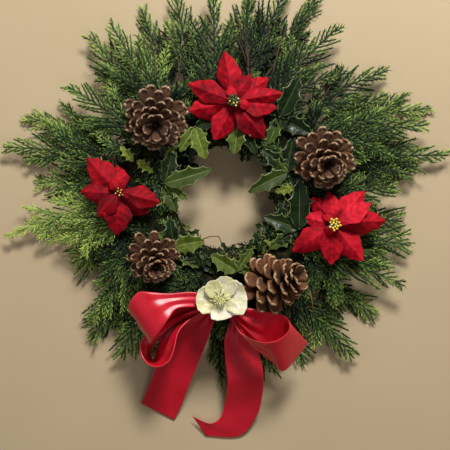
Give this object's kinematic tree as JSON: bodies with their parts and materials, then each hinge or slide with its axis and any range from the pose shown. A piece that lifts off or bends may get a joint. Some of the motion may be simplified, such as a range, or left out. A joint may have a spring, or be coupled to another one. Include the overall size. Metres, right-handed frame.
{
  "type": "evergreen wreath",
  "caption": "Round wreath of evergreen sprays and holly on a moss ring, with open pine cones, cloth flowers and a ribbon bow at its foot, lying on its back.",
  "frame": {"origin": "middle of the underside's bounding box, on the surface that the wreath lies on", "axes": "+Z out of the wreath's front, +Y towards its top, +X to its right as seen from the front"},
  "size_m": [0.5708, 0.5788, 0.1147],
  "materials": {
    "wire": "green coated wire, slightly worn",
    "moss": "packed dry moss, matt and fibrous",
    "cypress": "scale-leaved conifer foliage, satin, paler at the tips",
    "holly": "waxy glossy leaf with a pale margin",
    "pine_cone": "dry woody scales, matt, with pale rims",
    "red_cloth": "matt pressed cloth petals with creased veins",
    "cream_cloth": "matt pressed cloth petals, greenish at the centre",
    "buds": "small moulded buds",
    "ribbon": "glossy florist ribbon"
  },
  "bodies": {
    "root": {"wire_frame": "wire", "moss_ring": "moss", "cypress_spray_01": "cypress", "cypress_spray_02": "cypress", "cypress_spray_03": "cypress", "cypress_spray_04": "cypress", "cypress_spray_05": "cypress", "cypress_spray_06": "cypress", "cypress_spray_07": "cypress", "cypress_spray_08": "cypress", "cypress_spray_09": "cypress", "cypress_spray_10": "cypress", "cypress_spray_11": "cypress", "cypress_spray_12": "cypress", "cypress_spray_13": "cypress", "cypress_spray_14": "cypress", "cypress_spray_15": "cypress", "cypress_spray_16": "cypress", "cypress_spray_17": "cypress", "cypress_spray_18": "cypress", "cypress_spray_19": "cypress", "cypress_spray_20": "cypress", "cypress_spray_21": "cypress", "cypress_spray_22": "cypress", "cypress_spray_23": "cypress", "cypress_spray_24": "cypress", "cypress_spray_25": "cypress", "cypress_spray_26": "cypress", "cypress_spray_27": "cypress", "cypress_spray_28": "cypress", "cypress_spray_29": "cypress", "cypress_spray_30": "cypress", "cypress_spray_31": "cypress", "cypress_spray_32": "cypress", "cypress_spray_33": "cypress", "holly_sprig_1": "holly", "holly_sprig_2": "holly", "holly_sprig_3": "holly", "holly_sprig_4": "holly", "holly_sprig_5": "holly", "holly_sprig_6": "holly", "holly_sprig_7": "holly", "holly_sprig_8": "holly", "pine_cone_upper_left": "pine_cone", "pine_cone_upper_right": "pine_cone", "pine_cone_lower_left": "pine_cone", "pine_cone_lower_right": "pine_cone", "poinsettia_top": "red_cloth", "poinsettia_top_buds": "buds", "poinsettia_left": "red_cloth", "poinsettia_right": "red_cloth", "poinsettia_right_buds": "buds", "hellebore": "cream_cloth", "hellebore_centre": "buds", "bow_loop_upper_left": "ribbon", "bow_loop_lower_left": "ribbon", "bow_loop_right": "ribbon", "bow_tail_left": "ribbon", "bow_tail_right": "ribbon", "bow_knot": "ribbon"}
  },
  "joints": []
}
